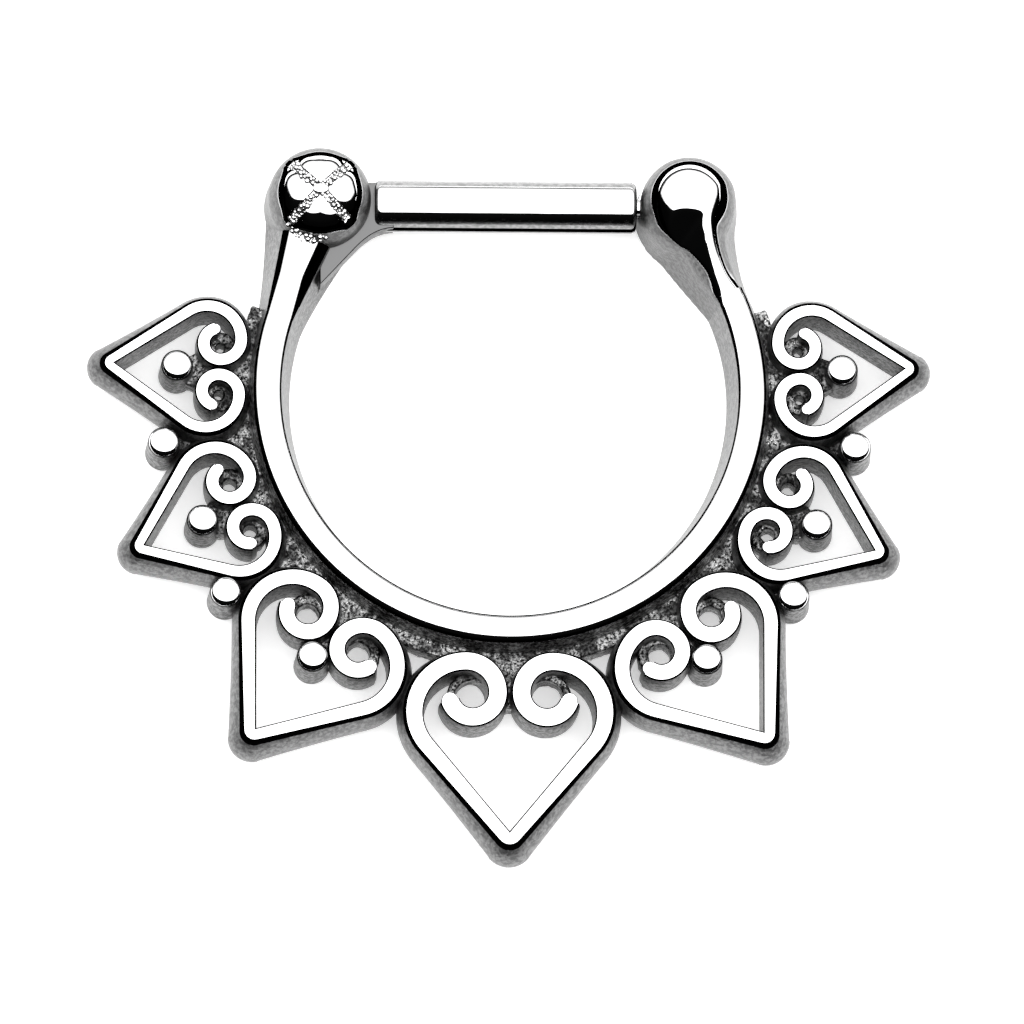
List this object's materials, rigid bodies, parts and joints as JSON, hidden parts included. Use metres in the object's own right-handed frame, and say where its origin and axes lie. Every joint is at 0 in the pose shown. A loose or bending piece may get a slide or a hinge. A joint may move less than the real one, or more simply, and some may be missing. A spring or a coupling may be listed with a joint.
{
  "type": "septum ring",
  "caption": "Hinged clicker ring for a septum: a straight bar closes a cast open ring edged with pierced scroll hearts and small beads.",
  "frame": {"origin": "middle of the outline seen from above, on the flat back that the ring lies on", "axes": "+Z out of the ring's face, +X along the bar from the hinge to the catch, +Y from the hearts to the bar"},
  "size_m": [0.0198, 0.017, 0.0022],
  "materials": {
    "steel": "surgical steel, cast and mirror polished on the faces, left grainy in the sunken webs"
  },
  "bodies": {
    "frame": {"cast_frame": "steel", "hinge_pin": "steel"},
    "bar": {"bar": "steel"}
  },
  "joints": [
    {"name": "hinge", "type": "hinge", "parent": "frame", "child": "bar", "pos_m": [-0.00445, 0.00726, 0.0008], "axis": [0, 0, 1], "range_deg": [0, 100]}
  ]
}
